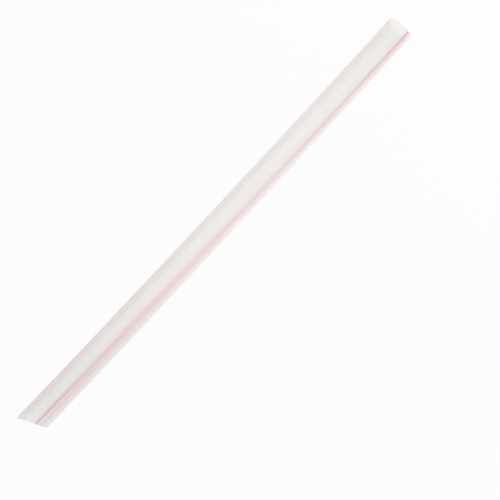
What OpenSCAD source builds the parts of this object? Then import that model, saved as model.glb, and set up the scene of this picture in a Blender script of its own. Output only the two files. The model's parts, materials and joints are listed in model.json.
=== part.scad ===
// Bubble tea straw: one thin tube, cut square at the drinking end and on a slant at the
// piercing end. It stands on its square end, with its axis along Z and the origin in the
// middle of that end. The point of the slant is at the top, on the +X side.

/* [Tube] */
// Overall length, from the square end to the point of the slanted end
straw_length = 240; // [150:1:300]
// Outside diameter
straw_diameter = 12; // [6:0.5:14]
// Thickness of the wall
wall = 0.25; // [0.15:0.01:0.6]

/* [Slanted end] */
// Length of the slant along the tube, from its heel to its point
slant_length = 6.2; // [1:0.1:20]

/* [Hidden] */
$fn = 96;
outer_r = straw_diameter / 2;
inner_r = outer_r - wall;
// How far the cutting shapes run past the surfaces that they cut
past = 1;
// The slant rises by this much for each millimetre across the tube
slant_slope = slant_length / straw_diameter;

// The wall as it leaves the die, square at the bottom and running past the slant at the top
module plain_tube() {
    uncut_length = straw_length + past;
    difference() {
        cylinder(h = uncut_length, r = outer_r);
        translate([0, 0, -past])
            cylinder(h = uncut_length + 2 * past, r = inner_r);
    }
}

// Everything above the slanted plane, which leaves the tube at its full length on the +X
// side and takes the slant's length off it on the -X side
module slant_cutter() {
    reach = outer_r + past;
    at_point = straw_length + past * slant_slope;
    at_heel = straw_length - slant_length - past * slant_slope;
    top = at_point + 2 * past;
    rotate([90, 0, 0])
        linear_extrude(height = 2 * reach, center = true)
            polygon([[reach, at_point], [reach, top], [-reach, top], [-reach, at_heel]]);
}

module straw() {
    color([0.93, 0.90, 0.89, 0.55])
        difference() {
            plain_tube();
            slant_cutter();
        }
}

straw();
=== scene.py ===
"""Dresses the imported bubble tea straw: a thin milky tube with stripes run into its wall.

The straw stands on its square end with its axis along Z, and the point of its slanted end is
at the top on the +X side. Sizes are in metres and angles run from +X towards +Y.
"""

import json
import math

import bmesh
import bpy
from bpy.props import FloatProperty, FloatVectorProperty, IntProperty, PointerProperty
from bpy.types import Operator, Panel, PropertyGroup
from mathutils import Matrix, Vector


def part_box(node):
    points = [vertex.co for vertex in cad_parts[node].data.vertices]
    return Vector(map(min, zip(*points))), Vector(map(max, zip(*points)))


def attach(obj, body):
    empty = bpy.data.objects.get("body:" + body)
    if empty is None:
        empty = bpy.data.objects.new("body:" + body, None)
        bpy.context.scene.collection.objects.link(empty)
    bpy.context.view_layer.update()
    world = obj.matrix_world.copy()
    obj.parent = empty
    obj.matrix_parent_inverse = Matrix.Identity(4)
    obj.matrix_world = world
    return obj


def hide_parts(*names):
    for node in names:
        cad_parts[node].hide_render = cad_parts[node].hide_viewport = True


bl_info = {
    "name": "Bubble Tea Straw",
    "version": (1, 0, 0),
    "blender": (4, 5, 0),
    "location": "3D View > Sidebar > Straw",
    "description": "Models a striped see-through drinking straw and a plain studio round it",
    "category": "Add Mesh",
}

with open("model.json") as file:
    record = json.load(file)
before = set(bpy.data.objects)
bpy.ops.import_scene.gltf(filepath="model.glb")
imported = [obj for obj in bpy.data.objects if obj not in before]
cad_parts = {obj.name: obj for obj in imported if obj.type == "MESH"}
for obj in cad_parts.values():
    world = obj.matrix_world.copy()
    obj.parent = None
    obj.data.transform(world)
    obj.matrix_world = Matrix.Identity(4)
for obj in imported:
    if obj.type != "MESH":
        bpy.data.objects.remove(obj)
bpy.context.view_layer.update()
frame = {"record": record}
MM = 0.001
WHITE = (1, 1, 1, 1)

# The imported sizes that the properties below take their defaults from
STRAW_LOW, STRAW_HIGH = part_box("straw")
MOUNTS = {mount["name"]: mount["dims"] for mount in frame["record"]["mounts"]}
OUTER_R = MOUNTS["outside"]["r_mm"] * MM
INNER_R = MOUNTS["drink_passage"]["r_mm"] * MM
HEEL_HEIGHT = MOUNTS["drink_passage"]["length_mm"] * MM
TOP_HEIGHT = STRAW_HIGH.z - STRAW_LOW.z

# How far from each rim the ring of faces lies that ends its shading, in roundings of the rim
COLLAR = 6
# Edges of the unrounded tube that turn by more than this run round its rims
RIM_TURN = math.radians(50)
RIM_SEGMENTS = 3
# A face whose normal goes up or down by more than this lies on a rim
RIM_TILT = 0.6
RIM_LAYER = "cut_rim"

# Along the tube from its square end (0) to its slanted end (1): the share of the stripes'
# wander that is done, of their core's full width, of its full pigment and of the wash's
STRIPE_WANDER = (
    (0, 0), (0.12, 0.085), (0.28, 0.145), (0.38, 0.195), (0.5, 0.31), (0.57, 0.365),
    (0.62, 0.43), (0.67, 0.55), (0.72, 0.71), (0.77, 0.81), (0.87, 0.905), (0.96, 0.975),
    (1, 1),
)
STRIPE_WIDTH = (
    (0, 0.5), (0.28, 0.58), (0.43, 0.68), (0.57, 0.88), (0.67, 0.92), (0.77, 0.75),
    (0.86, 0.56), (1, 0.48),
)
STRIPE_PIGMENT = (
    (0, 0.86), (0.1, 0.65), (0.2, 0.52), (0.45, 0.39), (0.57, 0.35), (0.66, 0.32),
    (0.8, 0.47), (0.92, 0.62), (1, 0.84),
)
STRIPE_WASH = (
    (0, 0.9), (0.1, 0.75), (0.2, 0.66), (0.45, 0.57), (0.8, 0.57), (0.9, 0.52), (1, 0.48),
)

# The noises in the plastic: how fast each changes along the tube, where round it is 1, its
# scale and its detail. The die draws out the lines and the broader bands
LINE_NOISE = (0.012, 2600.0, 2.0)
BAND_NOISE = (0.012, 420.0, 1.0)
PATCH_NOISE = (0.35, 160.0, 2.0)
# What a noise leaves of the core, the wash and the haze where it is 0, and adds where it is 1
CORE_MOTTLE = (0.8, 0.4)
WASH_MOTTLE = (0.7, 0.5)
HAZE_MOTTLE = (0.9, 0.2)
# How much the draw lines change the wall's opacity and its roughness
LINE_OPACITY = 0.05
LINE_ROUGHNESS = 0.1
BUMP_STRENGTH = 0.5
# How much of a stripe's own opacity its core and its wash have
CORE_OPACITY = 0.85
WASH_OPACITY = 0.15
# The opacity of a face that is seen edge on, and the least that a face has anywhere
EDGE_OPACITY = 0.45
LEAST_OPACITY = 0.02
# How steeply gloss and opacity rise towards a glancing angle
GLANCING_POWER = 5
# The share of its light that the plastic passes on to its other side, and what a stripe's
# core takes off it
PASSED_ON = 0.35
CORE_STOPS = 0.3
PLASTIC_ROUGHNESS = 0.6

# How pale the card is that the gloss mirrors, from its sharp edge (0) to its far edge (1)
CARD_SHADES = (
    (0, 0.02), (0.12, 0.07), (0.25, 0.16), (0.47, 0.45), (0.61, 0.7), (0.73, 0.84), (1, 0.96),
)
CARD_STEPS = 8
FLOOR_SIDES = 96
FLOOR_ROUGHNESS = 0.9
# How much of the floor is plain white to the camera, so that the rest is left for a shadow
FLOOR_WHITE = 0.92

# The side of each square lamp, and where it stands from what it shines at, in degrees
KEY_LAMP = {"size": 1.3, "azimuth": -70, "elevation": 38, "distance": 1.7}
LOW_LAMP = {"size": 0.12, "elevation": 10, "distance": 0.22}
LOW_AZIMUTHS = {"left": -10, "right": -120}
# How far up the straw the low lamps shine, as a share of its length
LOW_AIM = 0.25
# Width of the camera's sensor, in millimetres
SENSOR = 36


class StrawSizes(PropertyGroup):
    """The tube's own sizes."""

    length: FloatProperty(
        name="Length",
        description="From the square end to the point of the slanted end",
        default=TOP_HEIGHT,
        unit="LENGTH",
    )
    diameter: FloatProperty(
        name="Diameter", description="Outside diameter", default=2 * OUTER_R, unit="LENGTH"
    )
    wall: FloatProperty(
        name="Wall",
        description="Thickness of the wall",
        default=OUTER_R - INNER_R,
        unit="LENGTH",
    )
    slant: FloatProperty(
        name="Slant",
        description="Length of the slant along the tube, from its heel to its point",
        default=TOP_HEIGHT - HEEL_HEIGHT,
        unit="LENGTH",
    )
    rim_rounding: FloatProperty(
        name="Rim rounding",
        description="How far the cut rims are rounded over",
        default=0.05 * MM,
        unit="LENGTH",
    )
    bow: FloatProperty(
        name="Bow",
        description="How far the middle of the tube stands out of line with its ends",
        default=0.61 * MM,
        unit="LENGTH",
    )
    bow_towards: FloatProperty(
        name="Bow towards",
        description="The side that the middle is bowed to",
        default=math.radians(-154),
        subtype="ANGLE",
        unit="ROTATION",
    )
    sides: IntProperty(
        name="Sides", description="Faces round the tube", default=128, min=24, max=256
    )
    rings: IntProperty(
        name="Rings", description="Rings of faces along the tube", default=58, min=8, max=200
    )


class StripeLook(PropertyGroup):
    """The coloured stripes in the wall."""

    starts: FloatVectorProperty(
        name="Starts",
        description="Where each of the three stripes lies at the square end",
        default=[math.radians(angle) for angle in (-105.2, 14.8, 128)],
        size=3,
        subtype="EULER",
        unit="ROTATION",
    )
    thinning: FloatVectorProperty(
        name="Thinning",
        description="How much of its pigment each stripe has lost by the square end",
        default=(0, 0.8, 0.8),
        size=3,
        min=0,
        max=1,
    )
    wander: FloatProperty(
        name="Wander",
        description="How far round the tube the stripes have wandered by the slanted end",
        default=math.radians(26),
        subtype="ANGLE",
        unit="ROTATION",
    )
    core_width: FloatProperty(
        name="Core width",
        description="Half of the full width of a stripe's dense core",
        default=1.5 * MM,
        unit="LENGTH",
    )
    wash_widths: FloatVectorProperty(
        name="Wash widths",
        description="Half width of the thin wash of pigment that each stripe trails",
        default=(1.7 * MM, 3.6 * MM, 1.7 * MM),
        size=3,
        unit="LENGTH",
    )
    wash_aside: FloatProperty(
        name="Wash aside",
        description="How far to one side of its core the wash lies",
        default=1.1 * MM,
        unit="LENGTH",
    )
    core_colour: FloatVectorProperty(
        name="Core colour",
        description="Colour of the pigment in the core of a stripe",
        default=(0.68, 0.27, 0.35),
        subtype="COLOR",
        min=0,
        max=1,
    )
    wash_colour: FloatVectorProperty(
        name="Wash colour",
        description="Colour of the thin wash beside a stripe",
        default=(0.97, 0.68, 0.71),
        subtype="COLOR",
        min=0,
        max=1,
    )


class WallLook(PropertyGroup):
    """The plastic between the stripes."""

    colour: FloatVectorProperty(
        name="Colour",
        description="Colour of the milky plastic",
        default=(0.92, 0.9, 0.88),
        subtype="COLOR",
        min=0,
        max=1,
    )
    haze: FloatProperty(
        name="Haze",
        description="Share of what lies behind one wall that the wall hides",
        default=0.6,
        min=0,
        max=0.99,
        subtype="FACTOR",
    )
    stripe_haze: FloatProperty(
        name="Stripe haze",
        description="Share of what lies behind that the core of a stripe hides",
        default=0.85,
        min=0,
        max=0.99,
        subtype="FACTOR",
    )
    rim_haze: FloatProperty(
        name="Rim haze",
        description="How dense the wall looks where it is cut",
        default=0.8,
        min=0,
        max=0.99,
        subtype="FACTOR",
    )
    # Painted light: how much whiter the wall is painted close to the slanted cut, which
    # brightens the slanted end
    painted_cut_light: FloatProperty(
        name="Painted cut light",
        description="How white the wall has turned at the slanted cut, where it was strained",
        default=0.8,
        min=0,
        max=1,
        subtype="FACTOR",
    )
    # How far down the wall the painted light at the slanted cut reaches
    painted_cut_light_reach: FloatProperty(
        name="Painted light reach",
        description="How far in from the slanted cut the whitening fades away",
        default=3 * MM,
        unit="LENGTH",
    )
    roughness: FloatProperty(
        name="Roughness",
        description="Roughness of the satin surface",
        default=0.16,
        min=0,
        max=1,
        subtype="FACTOR",
    )
    ior: FloatProperty(
        name="IOR",
        description="Refractive index of the plastic, which sets how much it mirrors",
        default=1.55,
        min=1,
        max=2.5,
    )
    glancing: FloatProperty(
        name="Glancing gloss",
        description="How much of a mirror the satin surface becomes at a glancing angle",
        default=0.4,
        min=0,
        max=1,
        subtype="FACTOR",
    )
    draw_lines: FloatProperty(
        name="Draw lines",
        description="Height of the faint lengthwise lines that the die leaves",
        default=0.004 * MM,
        unit="LENGTH",
    )


class StudioLook(PropertyGroup):
    """The floor, the lamps, the card and the world."""

    floor_colour: FloatVectorProperty(
        name="Floor colour",
        description="Colour of the floor",
        default=(0.86, 0.86, 0.86),
        subtype="COLOR",
        min=0,
        max=1,
    )
    floor_radius: FloatProperty(
        name="Floor radius", description="Radius of the floor", default=7.0, unit="LENGTH"
    )
    surround: FloatProperty(
        name="Surround", description="Strength of the even light from all round", default=0.935
    )
    key_power: FloatProperty(
        name="Key light", description="Power of the large soft lamp", default=1.2, unit="POWER"
    )
    low_power: FloatProperty(
        name="Low lights",
        description="Power that the two small lamps close to the straw have together",
        default=0.3,
        unit="POWER",
    )
    card_from: FloatProperty(
        name="Card from",
        description="Where the graded card that the gloss mirrors begins",
        default=math.radians(1),
        subtype="ANGLE",
        unit="ROTATION",
    )
    card_spread: FloatProperty(
        name="Card spread",
        description="How far round the straw the card runs",
        default=math.radians(116),
        subtype="ANGLE",
        unit="ROTATION",
    )
    card_reach: FloatProperty(
        name="Card reach", description="How far out the card runs", default=2.0, unit="LENGTH"
    )
    card_paling: FloatProperty(
        name="Card paling",
        description="How far out the card is paler, which keeps a dark streak off the top view",
        default=50 * MM,
        unit="LENGTH",
    )
    card_height: FloatProperty(
        name="Card height",
        description="How far above the floor the card lies",
        default=0.2 * MM,
        unit="LENGTH",
    )


class CameraPlace(PropertyGroup):
    """Where the camera stands, about the middle of the straw."""

    azimuth: FloatProperty(
        name="Azimuth",
        description="Direction of the camera from the straw",
        default=math.radians(-64.39),
        subtype="ANGLE",
        unit="ROTATION",
    )
    elevation: FloatProperty(
        name="Elevation",
        description="Height of the camera above the straw's middle",
        default=math.radians(16.26),
        subtype="ANGLE",
        unit="ROTATION",
    )
    roll: FloatProperty(
        name="Roll",
        description="Turn of the camera about its line of sight",
        default=math.radians(-137.195),
        subtype="ANGLE",
        unit="ROTATION",
    )
    distance: FloatProperty(
        name="Distance", description="From the straw's middle", default=1.5, unit="LENGTH"
    )
    aside: FloatProperty(
        name="Aside",
        description="How far the camera is moved level to its right",
        default=-17.285 * MM,
        unit="LENGTH",
    )
    aloft: FloatProperty(
        name="Aloft",
        description="How far the camera is moved up, square to its line of sight",
        default=-1.30 * MM,
        unit="LENGTH",
    )
    lens: FloatProperty(
        name="Lens", description="Focal length", default=255.96, unit="CAMERA"
    )


class Signal:
    """One socket of a node tree that is written into sums as a number is."""

    def __init__(self, finish, socket):
        self.finish, self.socket = finish, socket

    def math(self, operation, *others):
        inputs = dict(enumerate((self, *others)))
        return self.finish.node("ShaderNodeMath", {"operation": operation}, inputs)

    def reflected(self, operation, other):
        return self.finish.node("ShaderNodeMath", {"operation": operation}, {0: other, 1: self})

    def __add__(self, other):
        return self.math("ADD", other)

    def __sub__(self, other):
        return self.math("SUBTRACT", other)

    def __mul__(self, other):
        return self.math("MULTIPLY", other)

    def __truediv__(self, other):
        return self.math("DIVIDE", other)

    def __pow__(self, other):
        return self.math("POWER", other)

    def __radd__(self, other):
        return self.reflected("ADD", other)

    def __rsub__(self, other):
        return self.reflected("SUBTRACT", other)

    def __rmul__(self, other):
        return self.reflected("MULTIPLY", other)

    def __rtruediv__(self, other):
        return self.reflected("DIVIDE", other)

    def __rpow__(self, other):
        return self.reflected("POWER", other)


class Finish:
    """The node tree of a material or a world being written, with one method that adds nodes."""

    def __init__(self, owner):
        owner.use_nodes = True
        self.tree = owner.node_tree
        self.tree.nodes.clear()

    def node(self, kind, settings=None, inputs=None, output=0):
        """Adds a node and returns the named or numbered output of it, if it has one."""
        made = self.tree.nodes.new(kind)
        for name, value in (settings or {}).items():
            if name == "points":
                put_points(made.mapping, value)
            else:
                setattr(made, name, value)
        for name, value in (inputs or {}).items():
            if isinstance(value, Signal):
                self.tree.links.new(value.socket, made.inputs[name])
            else:
                made.inputs[name].default_value = value
        return Signal(self, made.outputs[output]) if len(made.outputs) else None

    def place(self):
        """The X, Y and Z of a point of the object."""
        point = self.node("ShaderNodeTexCoord", output="Object")
        return [self.node("ShaderNodeSeparateXYZ", None, {0: point}, axis) for axis in "XYZ"]

    def mix_colour(self, share, first, second):
        """A colour that goes from first to second as share goes from 0 to 1."""
        # Inputs 6 and 7 and output 2 are the ones that the Mix node has for colours
        settings = {"data_type": "RGBA", "clamp_factor": True}
        return self.node("ShaderNodeMix", settings, {0: share, 6: first, 7: second}, 2)

    def mix_shader(self, share, first, second):
        return self.node("ShaderNodeMixShader", None, {0: share, 1: first, 2: second})

    def matt(self, colour, roughness, **inputs):
        """A shader that mirrors nothing."""
        inputs |= {"Base Color": colour, "Roughness": roughness, "Specular IOR Level": 0.0}
        return self.node("ShaderNodeBsdfPrincipled", None, inputs)

    def noise(self, place, scale, detail):
        settings = {"noise_dimensions": "3D", "normalize": True}
        inputs = {"Vector": place, "Scale": scale, "Detail": detail, "Roughness": 0.5}
        return self.node("ShaderNodeTexNoise", settings, inputs)

    def curve(self, value, points):
        """A smooth curve through points, each with a place and a value from 0 to 1."""
        return self.node("ShaderNodeFloatCurve", {"points": points}, {"Value": value})

    def show(self, shader, output="ShaderNodeOutputMaterial"):
        """Makes a shader what is seen of the material or the world."""
        self.node(output, None, {"Surface": shader})


def put_points(mapping, points):
    """Sends a curve mapping through points, which run from 0 to 1."""
    line = mapping.curves[0]
    line.points[0].location = points[0]
    line.points[1].location = points[-1]
    for place in points[1:-1]:
        line.points.new(*place)
    mapping.update()


def opaque(colour):
    return (*colour, 1.0)


def per_face(haze):
    """The opacity of one face of a wall whose two faces together hide the share haze."""
    return 1 - math.sqrt(1 - haze)


def bell(away):
    """1 where away is 0, falling off to either side as a bell does."""
    return (away * away * -1).math("EXPONENT")


def mottled(noise, left, added):
    """A factor that a noise moves from left, where it is 0, to left + added, where it is 1."""
    return left + noise * added


def bow_vector(sizes):
    """The bow, as the way from the line between the tube's ends to its middle."""
    towards = sizes.bow_towards
    return sizes.bow * Vector((math.cos(towards), math.sin(towards), 0))


def bow_share(up):
    """How much of the bow a place has that is the share up of the way along the tube.

    The middle goes half of it one way and the ends go half of it the other way.
    """
    return 0.5 - (up * 2 - 1) ** 2


def stripe_shares(finish, stripes, radius, angle, up):
    """How much there is of the stripes' dense cores and of their washes at a place."""
    turned = angle - finish.curve(up, STRIPE_WANDER) * stripes.wander
    core_width = finish.curve(up, STRIPE_WIDTH) * stripes.core_width
    core, wash = 0, 0
    for start, lost, width in zip(stripes.starts, stripes.thinning, stripes.wash_widths):
        # How far round the wall this stripe is, to its one side or its other
        turn = turned - start
        beside = turn.math("SINE").math("ARCTAN2", turn.math("COSINE")) * radius
        left = (up - 1) * lost + 1
        core = bell(beside / core_width) * left + core
        wash = bell((beside + stripes.wash_aside) / width) * left + wash
    return core, wash


def striped_plastic(sizes, stripes, look):
    """The milky plastic with its stripes, as one finish."""
    material = bpy.data.materials.new("milky striped plastic")
    finish = Finish(material)

    # The place on the straight tube, before it bowed
    bowed_x, bowed_y, height = finish.place()
    up = height * (1 / sizes.length)
    bow, share = bow_vector(sizes), bow_share(up)
    across = bowed_x - share * bow.x
    deep = bowed_y - share * bow.y

    def drawn_noise(along, scale, detail):
        """Noise that is drawn out along the tube, as the die draws the plastic."""
        place = {"X": across, "Y": deep, "Z": height * along}
        return finish.noise(finish.node("ShaderNodeCombineXYZ", None, place), scale, detail)

    lines = drawn_noise(*LINE_NOISE)
    bands = drawn_noise(*BAND_NOISE)
    patches = drawn_noise(*PATCH_NOISE)
    line_swing = lines - 0.5

    angle = deep.math("ARCTAN2", across)
    core, wash = stripe_shares(finish, stripes, sizes.diameter / 2, angle, up)
    core = core * mottled(patches, *CORE_MOTTLE) * finish.curve(up, STRIPE_PIGMENT)
    wash = wash * mottled(bands, *WASH_MOTTLE) * finish.curve(up, STRIPE_WASH)

    tinted = finish.mix_colour(wash, opaque(look.colour), opaque(stripes.wash_colour))
    # How far below the slanted cut this place is. Close to the cut the wall is painted whiter,
    # a painted light that brightens the slanted end, and white is its share
    below = sizes.length - sizes.slant / 2 + across * (sizes.slant / sizes.diameter) - height
    white = (below * (-1 / look.painted_cut_light_reach)).math("EXPONENT") * look.painted_cut_light
    painted_light_colour = finish.mix_colour(white, tinted, WHITE)
    colour = finish.mix_colour(core, painted_light_colour, opaque(stripes.core_colour))

    rim = finish.node("ShaderNodeAttribute", {"attribute_name": RIM_LAYER}, output="Fac")
    facing = finish.node("ShaderNodeLayerWeight", None, {"Blend": 0.5}, "Facing")
    film = per_face(look.haze)
    dense = per_face(look.stripe_haze)
    hiding = film * mottled(patches, *HAZE_MOTTLE) + line_swing * LINE_OPACITY
    hiding = hiding + (core * CORE_OPACITY + wash * WASH_OPACITY) * (dense - film)
    hiding = hiding + facing**GLANCING_POWER * (EDGE_OPACITY - film)
    hiding = hiding + rim * (look.rim_haze - hiding)

    grooves = {"Strength": BUMP_STRENGTH, "Distance": look.draw_lines, "Height": lines}
    bump = finish.node("ShaderNodeBump", None, grooves)
    body = finish.matt(colour, PLASTIC_ROUGHNESS, Normal=bump)
    through = finish.node("ShaderNodeBsdfTranslucent", None, {"Color": opaque(look.colour)})
    plastic = finish.mix_shader(PASSED_ON - core * CORE_STOPS, body, through)
    clear = finish.node("ShaderNodeBsdfTransparent")
    film_shader = finish.mix_shader(hiding.math("MAXIMUM", LEAST_OPACITY), clear, plastic)

    satin = look.roughness + line_swing * LINE_ROUGHNESS
    gloss = finish.node(
        "ShaderNodeBsdfAnisotropic", None, {"Color": WHITE, "Roughness": satin, "Normal": bump}
    )
    head_on = ((look.ior - 1) / (look.ior + 1)) ** 2
    mirrored = head_on + facing**GLANCING_POWER * (look.glancing - head_on)
    finish.show(finish.mix_shader(mirrored, film_shader, gloss))
    return material


def link(name, data):
    made = bpy.data.objects.new(name, data)
    bpy.context.scene.collection.objects.link(made)
    return made


def kept_mesh(name, bm):
    """Writes a finished bmesh to a new mesh."""
    mesh = bpy.data.meshes.new(name)
    bm.to_mesh(mesh)
    bm.free()
    return mesh


def straw_mesh(sizes):
    """The tube as one closed shell, cut square at the bottom and on a slant at the top."""
    outer = sizes.diameter / 2
    inner = outer - sizes.wall
    if not 0 < inner < outer:
        raise ValueError("the wall has to be thinner than half of the diameter")
    # A ring close to each rim keeps the rounding there from shading the whole tube
    collar = COLLAR * sizes.rim_rounding
    slant_middle = sizes.length - sizes.slant / 2
    heights = (0, collar, slant_middle - collar, slant_middle)
    section = [(outer, height) for height in heights]
    section += [(inner, height) for height in reversed(heights)]

    bm = bmesh.new()
    corners = [bm.verts.new((across, 0, height)) for across, height in section]
    outline = [bm.edges.new(pair) for pair in zip(corners, corners[1:] + corners[:1])]
    bmesh.ops.spin(
        bm,
        geom=corners + outline,
        cent=(0, 0, 0),
        axis=(0, 0, 1),
        angle=2 * math.pi,
        steps=sizes.sides,
        use_merge=True,
    )
    lean = Matrix.Identity(4)
    lean[2][0] = sizes.slant / sizes.diameter
    upper = [vert for vert in bm.verts if vert.co.z > sizes.length / 2]
    bmesh.ops.transform(bm, matrix=lean, verts=upper)
    lengthwise = [edge for edge in bm.edges if edge.calc_length() > sizes.length / 2]
    bmesh.ops.subdivide_edges(bm, edges=lengthwise, cuts=sizes.rings - 1, use_grid_fill=True)
    bmesh.ops.recalc_face_normals(bm, faces=bm.faces)
    bmesh.ops.bevel(
        bm,
        geom=[edge for edge in bm.edges if edge.calc_face_angle(0) > RIM_TURN],
        offset=sizes.rim_rounding,
        offset_type="OFFSET",
        affect="EDGES",
        segments=RIM_SEGMENTS,
        profile=0.5,
        material=-1,
        clamp_overlap=True,
    )
    if any(not edge.is_manifold for edge in bm.edges):
        raise RuntimeError("the straw's shell isn't closed")

    bm.normal_update()
    rim = bm.verts.layers.float.new(RIM_LAYER)
    for vert in bm.verts:
        vert[rim] = max(abs(face.normal.z) for face in vert.link_faces) > RIM_TILT
    bow = bow_vector(sizes)
    for vert in bm.verts:
        vert.co += bow * bow_share(vert.co.z / sizes.length)
    for face in bm.faces:
        face.smooth = True
    return kept_mesh("straw tube", bm)


class STRAW_OT_make_tube(Operator):
    """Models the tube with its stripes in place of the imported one"""

    bl_idname = "straw.make_tube"
    bl_label = "Make Straw Tube"
    bl_options = {"REGISTER", "UNDO"}

    def execute(self, context):
        scene = context.scene
        tube = link("straw_tube", straw_mesh(scene.straw_sizes))
        tube.data.materials.append(
            striped_plastic(scene.straw_sizes, scene.straw_stripes, scene.straw_wall)
        )
        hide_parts("straw")
        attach(tube, "root")
        return {"FINISHED"}


def direction(azimuth, elevation):
    """The unit vector that points from the straw at this azimuth and elevation."""
    level = math.cos(elevation)
    return Vector(
        (math.cos(azimuth) * level, math.sin(azimuth) * level, math.sin(elevation))
    )


def on_axis(sizes, up=0.5):
    """The point of the straw's axis that is the share up of its length above the floor."""
    return Vector((0, 0, sizes.length * up))


def seen_directly(finish):
    """1 for what the camera sees, also in a mirror or through glass, and 0 for light."""
    rays = ("Is Camera Ray", "Is Glossy Ray", "Is Transmission Ray")
    found = [finish.node("ShaderNodeLightPath", output=ray) for ray in rays]
    return found[0].math("MAXIMUM", found[1]).math("MAXIMUM", found[2])


def lay_floor(studio):
    """A pale floor that the camera sees as white, with what is left of a shadow."""
    bm = bmesh.new()
    bmesh.ops.create_circle(
        bm, cap_ends=True, segments=FLOOR_SIDES, radius=studio.floor_radius
    )
    floor = link("studio_floor", kept_mesh("studio floor", bm))

    material = bpy.data.materials.new("white studio floor")
    finish = Finish(material)
    lit = finish.matt(opaque(studio.floor_colour), FLOOR_ROUGHNESS)
    white = finish.node("ShaderNodeEmission", None, {"Color": WHITE, "Strength": 1.0})
    finish.show(finish.mix_shader(seen_directly(finish) * FLOOR_WHITE, lit, white))
    floor.data.materials.append(material)


def lay_card(studio, radius, camera_azimuth):
    """A graded card on the floor that only the straw's gloss sees."""
    # It fans out from under the line of the wall that mirrors its sharp edge to the camera
    mirrors_edge = (studio.card_from + camera_azimuth) / 2
    hub = direction(mirrors_edge, 0) * radius + Vector((0, 0, studio.card_height))
    turns = [
        studio.card_from + studio.card_spread * step / CARD_STEPS
        for step in range(CARD_STEPS + 1)
    ]
    corners = [hub, *(hub + direction(turn, 0) * studio.card_reach for turn in turns)]
    bm = bmesh.new()
    bm.faces.new([bm.verts.new(corner) for corner in corners])
    card = link("studio_card", kept_mesh("studio card", bm))

    material = bpy.data.materials.new("graded card")
    finish = Finish(material)
    x, y, _ = finish.place()
    along, aside = x - hub.x, y - hub.y
    share = (aside.math("ARCTAN2", along) - studio.card_from) / studio.card_spread
    out = (aside**2 + along**2).math("SQRT")
    paling = (1 - out / studio.card_paling).math("MAXIMUM", 0)
    shade = finish.curve(share, CARD_SHADES).math("MAXIMUM", paling)
    grey = finish.node("ShaderNodeCombineColor", None, {0: shade, 1: shade, 2: shade})
    finish.show(finish.matt(grey, 1.0))
    card.data.materials.append(material)
    card.visible_camera = card.visible_diffuse = card.visible_shadow = False
    card.visible_transmission = False


def soft_lamp(name, power, aim, size, azimuth, elevation, distance):
    """A square lamp that shines at aim from a direction given in degrees, out of every view."""
    lamp = bpy.data.lights.new(name, "AREA")
    lamp.shape = "SQUARE"
    lamp.size = size
    lamp.energy = power
    back = direction(math.radians(azimuth), math.radians(elevation))
    made = link(name, lamp)
    made.matrix_world = Matrix.LocRotScale(
        aim + back * distance, back.to_track_quat("Z", "Y"), None
    )
    made.visible_camera = False
    made.visible_glossy = False


def hang_lamps(studio, sizes):
    """A large soft lamp, and two small ones close to the lower part of the straw."""
    soft_lamp("key lamp", studio.key_power, on_axis(sizes), **KEY_LAMP)
    power = studio.low_power / len(LOW_AZIMUTHS)
    for side, azimuth in LOW_AZIMUTHS.items():
        aim = on_axis(sizes, LOW_AIM)
        soft_lamp(f"low lamp {side}", power, aim, azimuth=azimuth, **LOW_LAMP)


def light_evenly(scene, studio):
    """Even light from all round, which the camera sees as plain white."""
    scene.world = bpy.data.worlds.new("even light")
    finish = Finish(scene.world)
    strength = studio.surround + seen_directly(finish) * (1 - studio.surround)
    light = finish.node("ShaderNodeBackground", None, {"Strength": strength})
    finish.show(light, "ShaderNodeOutputWorld")
    scene.view_settings.view_transform = "Standard"


class STRAW_OT_make_studio(Operator):
    """Lays the pale floor and the card, hangs the soft lamps and sets the even light"""

    bl_idname = "straw.make_studio"
    bl_label = "Make Studio"
    bl_options = {"REGISTER", "UNDO"}

    def execute(self, context):
        scene = context.scene
        sizes, studio = scene.straw_sizes, scene.straw_studio
        lay_floor(studio)
        lay_card(studio, sizes.diameter / 2, scene.straw_camera.azimuth)
        hang_lamps(studio, sizes)
        light_evenly(scene, studio)
        return {"FINISHED"}


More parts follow.
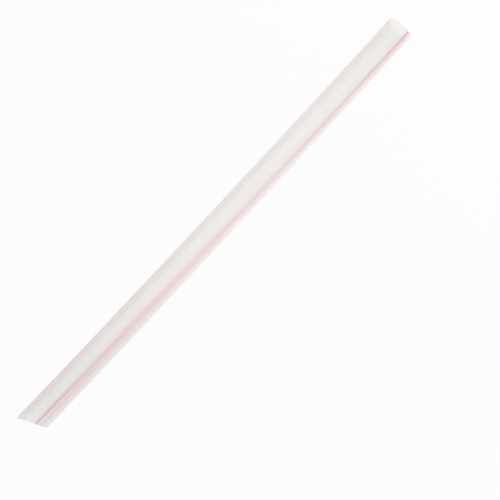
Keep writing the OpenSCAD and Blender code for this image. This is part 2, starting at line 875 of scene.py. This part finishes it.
class STRAW_OT_place_camera(Operator):
    """Stands the camera where it sees the straw run from corner to corner"""

    bl_idname = "straw.place_camera"
    bl_label = "Place Camera"
    bl_options = {"REGISTER", "UNDO"}

    def execute(self, context):
        scene = context.scene
        place = scene.straw_camera
        back = direction(place.azimuth, place.elevation)
        right = direction(place.azimuth + math.pi / 2, 0)
        up = back.cross(right)
        middle = on_axis(scene.straw_sizes)
        stand = middle + back * place.distance + right * place.aside + up * place.aloft
        level = Matrix((right, up, back)).transposed().to_4x4()
        roll = Matrix.Rotation(place.roll, 4, "Z")

        data = bpy.data.cameras.new("camera")
        data.lens = place.lens
        data.sensor_width = SENSOR
        camera = link("camera", data)
        camera.matrix_world = Matrix.Translation(stand) @ level @ roll
        scene.camera = camera
        return {"FINISHED"}


class STRAW_PT_panel(Panel):
    """Lists the straw's settings and the steps that make it"""

    bl_idname = "STRAW_PT_panel"
    bl_label = "Bubble Tea Straw"
    bl_space_type = "VIEW_3D"
    bl_region_type = "UI"
    bl_category = "Straw"

    def draw(self, context):
        for group_name, label, operator in PANEL_ROWS:
            group = getattr(context.scene, group_name)
            box = self.layout.box()
            box.label(text=label)
            for name in group.bl_rna.properties.keys():
                if name not in ("rna_type", "name"):
                    box.prop(group, name)
            if operator:
                box.operator(operator)


GROUPS = {
    "straw_sizes": StrawSizes,
    "straw_stripes": StripeLook,
    "straw_wall": WallLook,
    "straw_studio": StudioLook,
    "straw_camera": CameraPlace,
}
PANEL_ROWS = (
    ("straw_sizes", "Tube", None),
    ("straw_stripes", "Stripes", None),
    ("straw_wall", "Plastic", STRAW_OT_make_tube.bl_idname),
    ("straw_studio", "Studio", STRAW_OT_make_studio.bl_idname),
    ("straw_camera", "Camera", STRAW_OT_place_camera.bl_idname),
)
CLASSES = (
    *GROUPS.values(),
    STRAW_OT_make_tube,
    STRAW_OT_make_studio,
    STRAW_OT_place_camera,
    STRAW_PT_panel,
)


def register():
    for cls in CLASSES:
        bpy.utils.register_class(cls)
    for name, group in GROUPS.items():
        setattr(bpy.types.Scene, name, PointerProperty(type=group))


def unregister():
    for name in GROUPS:
        delattr(bpy.types.Scene, name)
    for cls in reversed(CLASSES):
        bpy.utils.unregister_class(cls)


def main():
    register()
    bpy.ops.straw.make_tube()
    bpy.ops.straw.make_studio()
    bpy.ops.straw.place_camera()


if __name__ == "__main__":
    main()
